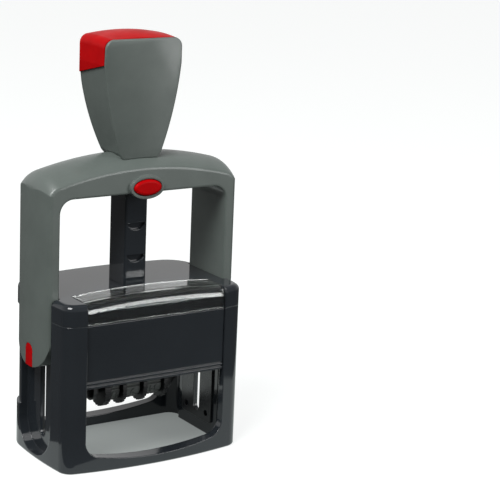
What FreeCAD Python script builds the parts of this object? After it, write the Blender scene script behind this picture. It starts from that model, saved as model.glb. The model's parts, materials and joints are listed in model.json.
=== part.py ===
# Date and time stamp machine: a heavy-duty self-inking date stamp.
# Millimetres, +X right, +Y to the back, +Z up. The origin is the centre of the housing's underside.
# A grey bow is pressed down over a black housing. Its two legs carry a carriage that turns over
# half a turn on the way, from the ink pad under the deck to the paper under the open base.

import FreeCAD
import Part
import math
import os

# Housing
case_width = 84.0
case_bow = 4.3
case_side_bow = 1.8
case_corner_radius = 6.0
case_rear_corner_radius = 14.0
cavity_corner_radius = 5.0
case_side_wall = 2.1
case_end_wall = 1.9
foot_edge_radius = 1.2
post_width = 8.9
sill_height = 4.2
sill_end_height = 6.5
sill_corner_height = 14.0
sill_corner_width = 6.0
sill_corner_bulge_share = 0.3
waist_inset = 0.9
waist_bottom = 19.3

# Side channels that guide the legs
channel_clearance = 0.3
channel_wall = 1.4
channel_flank = 1.5
channel_floor_rise = 2.9
slot_clearance = 0.4

# Rails that carry the pad drawer
rail_thickness = 1.2
rail_drop = 4.0

# Top cover with its deck
cover_height = 9.0
deck_thickness = 2.0
cover_edge_radius = 2.6
cavity_edge_radius = 2.0
drawer_roof_clearance = 0.4

# Clear index window along the front edge of the deck
window_length = 66.2
window_rear = 12.2
window_thickness = 1.0
window_proud = 0.1
window_crown = 1.5
window_roll_radius = 5.0
window_gap = 0.1
seat_edge_radius = 3.4
card_thickness = 0.2
card_gap = 0.3
card_margin = 3.0
card_depth = 7.0
card_rear_margin = 2.0

# Front and rear panels
panel_setback = 0.9
panel_gap = 0.15
panel_wing = 1.4
panel_wing_thickness = 1.1
panel_seam = 0.2
front_panel_bottom = 35.9
rear_panel_bottom = 42.0
lip_groove_height = 0.5
lip_groove_depth = 0.5
lip_rib_height = 1.1
lip_groove_count = 2

# Guide column
column_width = 10.5
column_depth = 13.6
column_edge_radius = 0.9
column_head_width = 9.2
column_head_depth = 10.4
column_head_height = 12.3
column_shoulder_cover = 0.4
column_bore = 7.6
column_bore_floor = 6.0
column_foot_width = 16.0
column_foot_depth = 20.0
column_foot_thickness = 1.4
column_clearance = 0.3
notch_width = 8.8
notch_height = 3.0
notch_depth = 1.6
notch_drop_first = 18.3
notch_drop_second = 32.1

# Bow
bow_inner_width = 79.0
leg_thickness = 4.7
leg_bulge = 2.0
leg_depth = 27.7
leg_end_radius = 12.5
leg_below_axle = 6.2
press_gap = 4.9
arch_height = 15.4
arch_crown = 4.9
arch_crest_radius = 158.0
shoulder_radius = 8.0
opening_corner_radius = 6.0
bow_outer_edge_radius = 1.8
bow_inner_edge_radius = 0.9

# Grip on the arch
grip_height = 50.0
grip_top_half_width = 18.1
grip_widest_share = 0.8
grip_middle_half_width = 14.9
grip_middle_share = 0.42
grip_foot_half_width = 9.9
grip_foot_share = 0.1
grip_tip_half_width = 6.0
grip_top_lean = 0.2
grip_top_corner_radius = 4.0
grip_foot_front = 8.8
grip_top_front = 10.0
grip_foot_rear = 8.0
grip_middle_rear = 12.6
grip_rear_middle_share = 0.32
grip_top_rear = 14.8
grip_rear_widest_share = 0.62
grip_rear_corner_radius = 3.0
grip_plate = 1.4
grip_core_inset = 0.7
cap_crown = 2.0
cap_side_crown = 0.7
cap_rear_crown = 0.9
cap_rear_side_crown = 0.1
cap_crown_place = 2.0
cap_front_drop = 10.4
cap_rear_drop = 16.0
cap_edge_radius = 3.0
cap_front_crown = 0.25

# Lock button on the arch
button_half_width = 6.5
button_half_height = 3.35
button_height_above_underside = 2.6
button_crown = 1.2
button_travel = 1.8
button_gap = 0.3
button_proud = 1.0
button_depth = 2.8
bezel_rim = 1.5
bezel_proud = 1.5
latch_radius = 1.6
latch_rest_gap = 2.3

# Axle pins and the red caps at the leg ends
axle_height = 47.0
axle_radius = 2.0
axle_running_clearance = 0.05
axle_cap_width = 6.2
axle_cap_top = 3.6
axle_cap_depth = 1.5
axle_cap_gap = 0.1

# Steel guide plates inside the side walls
guide_thickness = 0.8
guide_width = 24.0
guide_foot = 3.0
guide_rail_gap = 2.25
guide_corner_radius = 2.0
guide_hole_radius = 1.4
guide_hole_inset = 4.0

# Carriage that turns over
end_plate_thickness = 2.8
end_plate_inside = 31.6
hub_radius = 3.6
hub_side_gap = 0.4
hub_bore_margin = 1.4
ring_depth = 30.4
ring_low = 2.5
ring_high = 6.5
ring_corner_radius = 2.0
end_plate_neck = 5.0
end_plate_foot = 4.0
web_thickness = 2.6
web_end = 31.0
web_bottom = 24.3
web_chamfer = 9.0
arm_thickness = 2.2
arm_top_half_depth = 8.0
arm_end_radius = 4.2
arm_left = -17.3
arm_right = 18.9
cam_radius = 7.0
cam_lobe_width = 4.4
cam_thickness = 1.6

# Printing plate
plate_length = 56.0
plate_height = 33.0
plate_thickness = 1.9
plate_corner_radius = 1.5
die_base = 1.2
die_border = 0.8
die_border_inset = 1.0
die_bar_width = 1.4
die_bar_length = 44.0
die_bar_offset = 10.5
die_date_slot_margin = 0.3
print_clearance = 0.1
die_face = 10.9
date_slot_half_depth = 4.6

# Date wheels and bands
wheel_drop = 21.4
wheel_disc_radius = 7.3
wheel_tooth_depth = 0.35
wheel_tooth_count = 22
wheel_tooth_share = 0.5
drum_radius = 4.6
wheel_bore_clearance = 0.05
wheel_axle_radius = 1.5
band_clearance = 0.3
band_thickness = 0.6
band_top_half_depth = 2.4
band_top_radius = 1.3
bridge_clearance = 0.15
bridge_height = 6.1
bridge_corner_radius = 0.6
band_side_gap = 0.3
wheel_side_gap = 0.3
day_disc_left = -13.3
day_disc_thickness = 3.1
disc_thickness = 1.9
day_band_width = 4.8
month_band_width = 7.3
year_band_width = 7.8

# Ink pad drawer
pad_end_margin = 1.8
pad_front_margin = 3.0
pad_thickness = 3.6
pad_rest_gap = 1.35
pad_headroom = 7.15
pad_side_gap = 0.1
drawer_wall = 0.75
drawer_end_wall = 2.4
drawer_skirt_rise = 0.8
drawer_height = 6.6
drawer_flange = 1.9
drawer_flange_thickness = 1.4
drawer_flange_rise = 3.2
drawer_gap = 0.3
drawer_grip_count = 5
drawer_grip_width = 1.2
drawer_grip_depth = 0.7
drawer_grip_pitch = 4.2

# Return spring
spring_radius = 3.1
spring_wire = 0.45
spring_turns = 14

# Modelling allowances
overrun = 20.0
overlap = 0.5
tolerance = 0.01
slot_round_share = 0.96
quarter_turn = 90

# Places worked out from the sizes above
pad_length = plate_length + 2 * pad_end_margin
pad_depth = plate_height + 2 * pad_front_margin
drawer_front = pad_depth / 2 + pad_side_gap + drawer_end_wall
half_width = case_width / 2
cavity_half_width = half_width - case_side_wall
cavity_half_depth = drawer_front + drawer_gap + panel_wing_thickness
half_depth = cavity_half_depth + case_end_wall
case_depth = 2 * half_depth
opening_half_width = half_width - post_width
stroke = axle_height - die_face - print_clearance
pad_bottom = axle_height + die_face + pad_rest_gap
pad_top = pad_bottom + pad_thickness
deck_underside = pad_top + pad_headroom
deck_height = deck_underside + deck_thickness
seat_top = deck_height + window_proud - window_thickness - card_gap
case_height = deck_height - cover_height
arch_underside = deck_height + stroke + press_gap
leg_inside = bow_inner_width / 2
leg_outside = leg_inside + leg_thickness
bow_half_width = leg_outside + leg_bulge
leg_half_depth = leg_depth / 2
leg_end = axle_height - leg_below_axle
channel_floor = leg_inside - channel_clearance
channel_inside = channel_floor - channel_wall
channel_half_depth = leg_half_depth + channel_clearance
channel_bottom = leg_end - stroke - channel_floor_rise
trough_half_depth = channel_half_depth + channel_flank
guide_inside = channel_inside - guide_thickness
crest_height = arch_underside + arch_height
drawer_bottom = pad_bottom + drawer_skirt_rise
drawer_top = drawer_bottom + drawer_height
drawer_half_width = pad_length / 2 + pad_side_gap + drawer_wall
flange_bottom = drawer_bottom + drawer_flange_rise
flange_half_width = drawer_half_width + drawer_flange
rail_top = flange_bottom - drawer_gap
guide_bottom = axle_height - stroke - axle_radius - slot_clearance - guide_foot
guide_top = rail_top - rail_thickness - guide_rail_gap
face_half_width = opening_half_width - drawer_gap
face_bottom = pad_bottom
face_top = deck_underside - drawer_roof_clearance - column_foot_thickness
wheel_height = axle_height - wheel_drop
column_top = arch_underside + column_shoulder_cover + column_head_height
column_shoulder = arch_underside + column_shoulder_cover
column_bore_bottom = deck_height + column_bore_floor
shoulder_room = column_shoulder + stroke + column_clearance
head_room = column_top + stroke + column_clearance
grip_top = crest_height + grip_height
plate_edge = grip_top - cap_crown
grip_base = crest_height - arch_crown
grip_reach = grip_top_front + grip_top_rear
button_height = arch_underside + button_height_above_underside
hub_outside = guide_inside - hub_side_gap
plate_top = ring_high + plate_thickness
die_base_top = plate_top + die_base
end_plate_outside = end_plate_inside + end_plate_thickness
pin_end = bow_half_width - axle_cap_depth
band_radius = drum_radius + band_clearance + band_thickness
day_drum_left = day_disc_left + day_disc_thickness
month_disc_left = day_drum_left + day_band_width + 2 * band_side_gap + wheel_side_gap
month_drum_left = month_disc_left + disc_thickness
year_disc_left = month_drum_left + month_band_width + 2 * band_side_gap + wheel_side_gap
year_drum_left = year_disc_left + disc_thickness
year_end_disc_left = year_drum_left + year_band_width + 2 * band_side_gap

nodes = {}


# Drawing helpers
def point(x, y, z):
    """A point or a direction in the object's frame."""
    return FreeCAD.Vector(x, y, z)


def on_xy(z):
    """Places outline points on a level plane at height z."""
    return lambda u, v: point(u, v, z)


def on_xz(y):
    """Places outline points on an upright plane that faces the front, at depth y."""
    return lambda u, v: point(u, y, v)


def on_yz(x):
    """Places outline points on an upright plane that faces the side, at x."""
    return lambda u, v: point(x, u, v)


def block(x0, x1, y0, y1, z0, z1):
    """A rectangular block between two opposite corners."""
    return Part.makeBox(x1 - x0, y1 - y0, z1 - z0, point(x0, y0, z0))


def rod(x0, x1, radius, y, z):
    """A round rod along X."""
    return Part.makeCylinder(radius, x1 - x0, point(x0, y, z), point(1, 0, 0))


def rounded_face(corners, place):
    """A flat face through corners (u, v, radius), each rounded with a tangent arc."""
    count = len(corners)
    rounds = []
    for i in range(count):
        u, v, radius = corners[i]
        here = point(u, v, 0)
        back = point(corners[i - 1][0], corners[i - 1][1], 0) - here
        ahead = point(corners[(i + 1) % count][0], corners[(i + 1) % count][1], 0) - here
        back.normalize()
        ahead.normalize()
        half_angle = back.getAngle(ahead) / 2
        run = radius / math.tan(half_angle)
        reach = radius / math.sin(half_angle) - radius
        inward = back + ahead
        inward.normalize()
        rounds.append((here + back * run, here + inward * reach, here + ahead * run, radius))
    edges = []
    for i in range(count):
        start, middle, end, radius = rounds[i]
        following = rounds[(i + 1) % count][0]
        if radius > 0:
            edges.append(Part.Arc(*[place(p.x, p.y) for p in (start, middle, end)]).toShape())
        if (following - end).Length > 0:
            edges.append(Part.makeLine(place(end.x, end.y), place(following.x, following.y)))
    return Part.Face(Part.Wire(edges))


def prism_x(corners, x0, x1):
    """An outline of (y, z, radius) corners carried along X."""
    return rounded_face(corners, on_yz(x0)).extrude(point(x1 - x0, 0, 0))


def prism_y(corners, y0, y1):
    """An outline of (x, z, radius) corners carried along Y."""
    return rounded_face(corners, on_xz(y0)).extrude(point(0, y1 - y0, 0))


def prism_z(corners, z0, z1):
    """An outline of (x, y, radius) corners carried along Z."""
    return rounded_face(corners, on_xy(z0)).extrude(point(0, 0, z1 - z0))


def rectangle(u, v, radius):
    """Corners of a centred rectangle with half sizes u and v."""
    return [(-u, -v, radius), (u, -v, radius), (u, v, radius), (-u, v, radius)]


def mirrored(shape):
    """The same piece on the other side of the middle plane x = 0."""
    return shape.mirror(point(0, 0, 0), point(1, 0, 0))


def both_sides(shape):
    """A shape and its mirror image, as a list."""
    return [shape, mirrored(shape)]


def edges_where(shape, test):
    """The edges whose two ends and middle all pass a test on a point."""
    kept = []
    for edge in shape.Edges:
        middle = edge.valueAt((edge.FirstParameter + edge.LastParameter) / 2)
        if all(test(p) for p in [v.Point for v in edge.Vertexes] + [middle]):
            kept.append(edge)
    return kept


def near(a, b):
    """True where two lengths agree within the modelling tolerance."""
    return abs(a - b) < tolerance


def joined(first, others):
    """One solid made of a first shape and what is added to it."""
    return first.fuse(others).removeSplitter()


def keep(name, shape):
    """Stores a finished sub-part under its node's name."""
    nodes[name] = shape.Solids[0] if len(shape.Solids) == 1 else Part.makeCompound(shape.Solids)


# Plan outline of the housing: four sides bowed outwards between round corners
def housing_prism(inset, z0, z1):
    """The housing's plan outline, taken in by an inset, between two heights."""
    hx = half_width - inset
    hy = half_depth - inset
    corners = [point(-hx, -hy, z0), point(hx, -hy, z0), point(hx, hy, z0), point(-hx, hy, z0)]
    bulges = [point(0, -hy - case_bow, z0), point(hx + case_side_bow, 0, z0),
              point(0, hy + case_bow, z0), point(-hx - case_side_bow, 0, z0)]
    sides = [Part.Arc(corners[i], bulges[i], corners[(i + 1) % len(corners)]).toShape()
             for i in range(len(corners))]
    solid = Part.Face(Part.Wire(sides)).extrude(point(0, 0, z1 - z0))
    for side, radius in ((-1, case_corner_radius), (1, case_rear_corner_radius)):
        uprights = edges_where(solid, lambda p: near(abs(p.x), hx) and near(side * p.y, hy))
        solid = solid.makeFillet(radius - inset, uprights)
    return solid


def housing_depth_at(x):
    """Distance of the housing's bowed front face from the middle plane, at a given x."""
    radius = (half_width ** 2 + case_bow ** 2) / (2 * case_bow)
    return half_depth + case_bow - radius + math.sqrt(radius ** 2 - x ** 2)


def panel_plane():
    """Distance of the front panel's flat face from the middle plane."""
    return housing_depth_at(opening_half_width) - panel_setback


def leg_outline(bottom, half_depth_here, radius, top):
    """Side outline of a leg or its channel: straight sides and a rounded lower end."""
    d = half_depth_here
    return [(-d, bottom, radius), (d, bottom, radius), (d, top, 0), (-d, top, 0)]


def channel_troughs(z0, z1):
    """Walls that stand behind and beside both leg channels."""
    d = trough_half_depth
    wall = block(channel_inside, cavity_half_width + overlap, -d, d, z0, z1)
    return both_sides(wall)


def channel_pockets(top):
    """The room that both legs slide in, open at the top, with a rounded bottom."""
    outline = leg_outline(channel_bottom, channel_half_depth, leg_end_radius + channel_clearance, top)
    return both_sides(prism_x(outline, channel_floor, channel_floor + overrun))


def axle_slots():
    """Upright slots in the side walls, where the axle pins travel."""
    half = axle_radius + slot_clearance
    outline = [(-half, axle_height - stroke - half, half * slot_round_share),
               (half, axle_height - stroke - half, half * slot_round_share),
               (half, axle_height + half, half * slot_round_share),
               (-half, axle_height + half, half * slot_round_share)]
    return both_sides(prism_x(outline, guide_inside - overrun, channel_floor + overrun))


def window_cutter(top):
    """The opening between two posts, with a curved sill and rounded lower corners."""
    w = opening_half_width
    inner = w - sill_corner_width
    bend = sill_corner_width * sill_corner_bulge_share
    rise = (sill_corner_height - sill_end_height) * sill_corner_bulge_share
    sill = Part.Arc(point(-inner, 0, sill_end_height), point(0, 0, sill_height),
                    point(inner, 0, sill_end_height)).toShape()
    right = Part.Arc(point(inner, 0, sill_end_height), point(w - bend, 0, sill_end_height + rise),
                     point(w, 0, sill_corner_height)).toShape()
    left = Part.Arc(point(-w, 0, sill_corner_height), point(-w + bend, 0, sill_end_height + rise),
                    point(-inner, 0, sill_end_height)).toShape()
    sides = [Part.makeLine(point(w, 0, sill_corner_height), point(w, 0, top)),
             Part.makeLine(point(w, 0, top), point(-w, 0, top)),
             Part.makeLine(point(-w, 0, top), point(-w, 0, sill_corner_height))]
    return Part.Face(Part.Wire([sill, right] + sides + [left]))


# Housing pieces
def make_base_case():
    """Lower housing: four corner posts, curved sills, leg channels and the drawer's rails."""
    shell = housing_prism(0, 0, case_height)
    foot = edges_where(shell, lambda p: near(p.z, 0))
    shell = shell.makeFillet(foot_edge_radius, foot)
    cavity = prism_z(rectangle(cavity_half_width, cavity_half_depth, cavity_corner_radius),
                     -overrun, case_height + overrun)
    shell = shell.cut(cavity)
    rails = both_sides(block(drawer_half_width + drawer_gap, cavity_half_width + overlap,
                             -cavity_half_depth + rail_drop, cavity_half_depth - rail_drop,
                             rail_top - rail_thickness, rail_top))
    shell = joined(shell, channel_troughs(0, case_height) + rails)
    front_and_rear = window_cutter(case_height + overrun).extrude(point(0, case_depth * 2, 0))
    front_and_rear.translate(point(0, -case_depth, 0))
    inner_keep = block(-cavity_half_width, cavity_half_width, -cavity_half_depth, cavity_half_depth,
                       -overrun, case_height + overrun * 2)
    windows = front_and_rear.cut(inner_keep)
    waist = housing_prism(-overlap, waist_bottom, case_height + overlap)
    waist = waist.cut(housing_prism(waist_inset, waist_bottom - overrun, case_height + overrun))
    waist = waist.common(block(-case_width, case_width, channel_half_depth, case_depth,
                               waist_bottom, case_height + overlap))
    return shell.cut([windows, waist] + channel_pockets(case_height + overrun) + axle_slots())


def window_shell(inset):
    """The index window's form, taken in by an inset: crowned top, flat front, rolled front edge."""
    hx = window_length / 2
    front = inset - panel_plane()
    top = deck_height + window_proud - inset
    low = case_height - overlap
    crown = Part.Arc(point(-hx, front, top), point(0, front, top + window_crown),
                     point(hx, front, top)).toShape()
    sides = [Part.makeLine(point(hx, front, top), point(hx, front, low)),
             Part.makeLine(point(hx, front, low), point(-hx, front, low)),
             Part.makeLine(point(-hx, front, low), point(-hx, front, top))]
    solid = Part.Face(Part.Wire([crown] + sides)).extrude(point(0, half_depth, 0))
    rim = edges_where(solid, lambda p: near(p.y, front) and p.z > top - tolerance)
    return solid.makeFillet(window_roll_radius - inset, rim)


def window_seat():
    """The step of the cover under the window: flat, with a rounded front edge."""
    front = window_thickness + card_gap - panel_plane()
    seat = block(-half_width, half_width, front, 0, case_height - overlap, seat_top)
    rim = edges_where(seat, lambda p: near(p.y, front) and near(p.z, seat_top))
    return seat.makeFillet(seat_edge_radius, rim)


def window_room(gap):
    """The space between the posts that the index window takes, less a gap all round."""
    hx = window_length / 2 - gap
    return block(-hx, hx, -case_depth, -window_rear - gap, case_height + gap, deck_height + overrun)


def make_top_cover():
    """Top cover: the deck, rounded corners and the seat of the index window."""
    shell = housing_prism(0, case_height, deck_height)
    rim = edges_where(shell, lambda p: near(p.z, deck_height))
    shell = shell.makeFillet(cover_edge_radius, rim)
    cavity = prism_z(rectangle(cavity_half_width, cavity_half_depth, cavity_corner_radius),
                     case_height - overrun, deck_underside)
    ceiling = edges_where(cavity, lambda p: near(p.z, deck_underside))
    cavity = cavity.makeFillet(cavity_edge_radius, ceiling)
    shell = joined(shell.cut(cavity), channel_troughs(case_height, deck_height))
    pocket = window_room(0).cut(window_seat())
    doorway = block(-opening_half_width, opening_half_width, cavity_half_depth - overlap, case_depth,
                    case_height - overlap, face_top + drawer_roof_clearance)
    column_hole = block(-column_width / 2 + column_edge_radius, column_width / 2 - column_edge_radius,
                        -column_depth / 2 + column_edge_radius, column_depth / 2 - column_edge_radius,
                        deck_underside - overrun, deck_height + overrun)
    return shell.cut([pocket, doorway, column_hole] + channel_pockets(deck_height + overrun))


def make_index_window():
    """Clear window, crowned from side to side and rolled over the front edge of the deck."""
    return window_shell(0).cut(window_shell(window_thickness)).common(window_room(window_gap))


def make_index_card():
    """Blank card that lies under the clear window."""
    hx = window_length / 2 - card_margin
    rear = -window_rear - card_rear_margin
    return block(-hx, hx, rear - card_depth, rear, seat_top, seat_top + card_thickness)


def make_panel(facing, bottom, top, grooves):
    """A flat panel between two posts, with wings that catch behind them."""
    outer = panel_plane()
    inner = cavity_half_depth
    hx = opening_half_width - panel_gap
    plate = block(-hx, hx, inner, outer, bottom, top)
    wing = block(-opening_half_width - panel_wing, opening_half_width + panel_wing,
                 inner - panel_wing_thickness, inner, bottom + panel_wing, top)
    panel = joined(plate, [wing])
    cuts = []
    for i in range(grooves):
        low = bottom + lip_rib_height + i * (lip_rib_height + lip_groove_height)
        cuts.append(block(-case_width, case_width, outer - lip_groove_depth, outer + overrun,
                          low, low + lip_groove_height))
    if cuts:
        panel = panel.cut(cuts)
    if facing < 0:
        panel = panel.mirror(point(0, 0, 0), point(0, 1, 0))
    return panel


def make_guide_column():
    """Column that the bow runs on: notched front face, narrow head, bore for the spring."""
    shaft = prism_z(rectangle(column_width / 2, column_depth / 2, column_edge_radius),
                    deck_height, column_shoulder)
    head = prism_z(rectangle(column_head_width / 2, column_head_depth / 2, column_edge_radius),
                   column_shoulder, column_top)
    tenon = block(-column_width / 2 + column_edge_radius + window_gap,
                  column_width / 2 - column_edge_radius - window_gap,
                  -column_depth / 2 + column_edge_radius + window_gap,
                  column_depth / 2 - column_edge_radius - window_gap, deck_underside, deck_height)
    foot = block(-column_foot_width / 2, column_foot_width / 2, -column_foot_depth / 2,
                 column_foot_depth / 2, deck_underside - column_foot_thickness, deck_underside)
    column = joined(shaft, [head, tenon, foot])
    cuts = [Part.makeCylinder(column_bore / 2, column_top, point(0, 0, column_bore_bottom))]
    front = -column_depth / 2
    for drop in (notch_drop_first, notch_drop_second):
        top = button_height - drop + notch_height / 2
        half = notch_width / 2
        bowl = Part.Arc(point(-half, front, top), point(0, front, top - notch_height),
                        point(half, front, top)).toShape()
        rim = Part.makeLine(point(half, front, top), point(-half, front, top))
        notch = Part.Face(Part.Wire([bowl, rim])).extrude(point(0, notch_depth, 0))
        cuts.append(notch)
    return column.cut(cuts)


def make_guide_plate():
    """Steel plate on the inner side of the right side wall, with the axle's slot."""
    middle = (guide_bottom + guide_top) / 2
    half_height = (guide_top - guide_bottom) / 2
    outline = [(u, v + middle, r) for u, v, r in
               rectangle(guide_width / 2, half_height, guide_corner_radius)]
    plate = prism_x(outline, guide_inside, channel_inside)
    holes = []
    for u in (-guide_width / 2 + guide_hole_inset, guide_width / 2 - guide_hole_inset):
        for v in (guide_bottom + guide_hole_inset, guide_top - guide_hole_inset):
            holes.append(rod(guide_inside - overlap, channel_inside + overlap, guide_hole_radius, u, v))
    return plate.cut(holes + axle_slots())


# Bow and grip
def crest_drum():
    """A wide drum whose crowned rim is the top of the arch: curved from side to side and front to rear."""
    d = leg_half_depth
    centre = crest_height - arch_crest_radius
    rim = crest_height - arch_crown
    crown = Part.Arc(point(0, -d, rim), point(0, 0, crest_height), point(0, d, rim)).toShape()
    lines = [Part.makeLine(point(0, d, rim), point(0, d, centre)),
             Part.makeLine(point(0, d, centre), point(0, -d, centre)),
             Part.makeLine(point(0, -d, centre), point(0, -d, rim))]
    half = Part.Face(Part.Wire([crown] + lines))
    half_turn = 2 * quarter_turn
    sides = [half.revolve(point(0, 0, centre), point(0, 1, 0), turn) for turn in (half_turn, -half_turn)]
    return sides[0].fuse(sides[1]).removeSplitter()


def column_passage():
    """The stepped room that the column takes inside the arch and the grip."""
    steps = ((column_width, column_depth, shoulder_room),
             (column_head_width, column_head_depth, head_room))
    rooms = []
    for width, depth, top in steps:
        hx = width / 2 + column_clearance
        hy = depth / 2 + column_clearance
        rooms.append(block(-hx, hx, -hy, hy, arch_underside - overrun, top))
    return rooms


def oval_prism(half_x, half_z, y0, y1):
    """An upright oval, carried along Y at the lock button's height."""
    ellipse = Part.Ellipse(point(0, 0, 0), half_x, half_z).toShape()
    face = Part.Face(Part.Wire([ellipse]))
    face.rotate(point(0, 0, 0), point(1, 0, 0), quarter_turn)
    face.translate(point(0, y0, button_height))
    return face.extrude(point(0, y1 - y0, 0))


def bow_blank():
    """The bow before its holes: two convex legs under a shallow arch."""
    h = bow_half_width
    d = leg_half_depth
    solid = block(-h, h, -d, d, leg_end, grip_top).common(crest_drum())
    shoulders = edges_where(solid, lambda p: near(abs(p.x), h) and p.z > arch_underside)
    solid = solid.makeFillet(shoulder_radius, shoulders)
    bulge = []
    for sign in (1, -1):
        a = point(sign * leg_outside, -sign * d, leg_end)
        b = point(sign * leg_outside, sign * d, leg_end)
        bulge.append(Part.Arc(a, point(sign * h, 0, leg_end), b).toShape())
        bulge.append(Part.makeLine(b, point(-sign * leg_outside, sign * d, leg_end)))
    plan = Part.Face(Part.Wire(bulge)).extrude(point(0, 0, grip_top - leg_end))
    solid = solid.common(plan)
    rims = [e for e in solid.Edges if all(near(abs(v.Point.y), d) for v in e.Vertexes)
            and abs(e.tangentAt(e.FirstParameter).y) < tolerance
            and e.BoundBox.ZMax > leg_end + overlap]
    solid = solid.makeFillet(bow_outer_edge_radius, rims)
    opening = prism_y([(-leg_inside, leg_end - overrun, 0), (leg_inside, leg_end - overrun, 0),
                       (leg_inside, arch_underside, opening_corner_radius),
                       (-leg_inside, arch_underside, opening_corner_radius)], -d - overrun, d + overrun)
    solid = solid.cut(opening)
    inner = [e for e in solid.Edges if all(near(abs(v.Point.y), d) for v in e.Vertexes)
             and e.BoundBox.XMax <= leg_inside + tolerance and e.BoundBox.XMin >= -leg_inside - tolerance
             and e.BoundBox.ZMax <= arch_underside + tolerance]
    solid = solid.makeFillet(bow_inner_edge_radius, inner)
    ends = prism_x(leg_outline(leg_end, d, leg_end_radius, grip_top), -h - overrun, h + overrun)
    return solid.common(ends)


def axle_cap_prism(gap):
    """Upright tongue shape of the red cap over the right axle pin."""
    half = axle_cap_width / 2 - gap
    outline = [(-half, leg_end - overrun, 0), (half, leg_end - overrun, 0),
               (half, axle_height + axle_cap_top - gap, half * slot_round_share),
               (-half, axle_height + axle_cap_top - gap, half * slot_round_share)]
    return prism_x(outline, pin_end, bow_half_width + overrun)


def make_bow_parts():
    """The bow frame, its two axle caps, and the openings cut in it."""
    blank = bow_blank()
    boss_front = -leg_half_depth - bezel_proud
    boss = oval_prism(button_half_width + bezel_rim, button_half_height + bezel_rim,
                      boss_front, -column_depth / 2 - column_clearance)
    bore = oval_prism(button_half_width + button_gap, button_half_height + button_gap,
                      boss_front - overrun, boss_front + button_depth + button_travel + button_gap)
    latch_hole = Part.makeCylinder(latch_radius + button_gap, leg_depth, point(0, boss_front, button_height),
                                   point(0, 1, 0)).common(block(-case_width, case_width, -case_depth, 0,
                                                                0, grip_top))
    frame = joined(blank, [boss])
    cap_room = axle_cap_prism(0)
    caps = blank.common(axle_cap_prism(axle_cap_gap))
    pin_holes = both_sides(rod(leg_inside - overlap, pin_end, axle_radius, 0, axle_height))
    frame = frame.cut([bore, latch_hole] + column_passage() + both_sides(cap_room) + pin_holes)
    return frame, caps


def make_axle_pin():
    """Right axle pin: fixed in the leg, runs in the carriage's hub."""
    return rod(end_plate_inside + hub_bore_margin, pin_end, axle_radius, 0, axle_height)


def grip_height_at(share):
    """Height of a place on the grip, as a share of its height from the foot to the plates' top."""
    return grip_base + (plate_edge - grip_base) * share


def grip_prism(inset):
    """Front outline of the grip, a fan that narrows to the arch, carried along Y."""
    tip = (grip_tip_half_width - inset, grip_base)
    foot = (grip_foot_half_width - inset, grip_height_at(grip_foot_share))
    middle = (grip_middle_half_width - inset, grip_height_at(grip_middle_share))
    widest = (grip_top_half_width - inset, grip_height_at(grip_widest_share))
    corner = (widest[0] - grip_top_lean, plate_edge)
    right = [point(x, -grip_reach, z) for x, z in (tip, foot, middle, widest, corner)]
    left = [point(-p.x, -grip_reach, p.z) for p in right]
    edges = [Part.makeLine(left[0], right[0]), Part.makeLine(right[0], right[1]),
             Part.Arc(right[1], right[2], right[3]).toShape(), Part.makeLine(right[3], right[4]),
             Part.makeLine(right[4], left[4]), Part.makeLine(left[4], left[3]),
             Part.Arc(left[3], left[2], left[1]).toShape(), Part.makeLine(left[1], left[0])]
    solid = Part.Face(Part.Wire(edges)).extrude(point(0, 2 * grip_reach, 0))
    corners = edges_where(solid, lambda p: near(p.z, plate_edge) and near(abs(p.x), corner[0]))
    return solid.makeFillet(grip_top_corner_radius, corners)


def grip_side(front_inset, rear_inset):
    """Side outline of the grip: a front that leans out and a full, rounded rear, carried along X."""
    top = grip_top + overlap
    front = [point(-half_width, front_inset - grip_foot_front, grip_base),
             point(-half_width, front_inset - grip_top_front, top)]
    rear = [point(-half_width, grip_foot_rear - rear_inset, grip_base),
            point(-half_width, grip_middle_rear - rear_inset, grip_height_at(grip_rear_middle_share)),
            point(-half_width, grip_top_rear - rear_inset, grip_height_at(grip_rear_widest_share)),
            point(-half_width, grip_top_rear - rear_inset, top)]
    edges = [Part.makeLine(front[0], rear[0]), Part.Arc(rear[0], rear[1], rear[2]).toShape(),
             Part.makeLine(rear[2], rear[3]), Part.makeLine(rear[3], front[1]),
             Part.makeLine(front[1], front[0])]
    return Part.Face(Part.Wire(edges)).extrude(point(case_width, 0, 0))


def grip_body():
    """The whole grip under its cap's crown, with rounded rear corners, standing on the arch."""
    body = grip_prism(0).common(grip_side(0, 0))
    uprights = [e for e in body.Edges if e.BoundBox.YMin > grip_foot_rear - overlap
                and e.BoundBox.ZMax - e.BoundBox.ZMin > grip_top_corner_radius]
    return body.makeFillet(grip_rear_corner_radius, uprights)


def cap_region():
    """Everything above the slanting line where the red cap meets the grip."""
    front = plate_edge - cap_front_drop
    rear = plate_edge - cap_rear_drop
    slope = (front - rear) / (grip_foot_front + grip_top_rear)
    beyond_front = (grip_reach - grip_foot_front) * slope
    beyond_rear = (grip_reach - grip_top_rear) * slope
    outline = [(-grip_reach, front + beyond_front, 0), (grip_reach, rear - beyond_rear, 0),
               (grip_reach, grip_top + overrun, 0), (-grip_reach, grip_top + overrun, 0)]
    return prism_x(outline, -half_width, half_width)


def make_grip_plates():
    """Front and rear plates of the grip; the rear one ends under the red cap."""
    body = grip_body().cut(crest_drum())
    front = body.cut(grip_side(grip_plate, -grip_reach))
    rear = body.cut([grip_side(-grip_reach, grip_plate), cap_region()])
    return front, rear


def make_grip_core():
    """Middle of the grip: stands on the arch and hides the column's head."""
    core = grip_prism(grip_core_inset).common(grip_side(grip_plate, grip_plate))
    return core.cut([crest_drum(), cap_region()] + column_passage())


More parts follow.
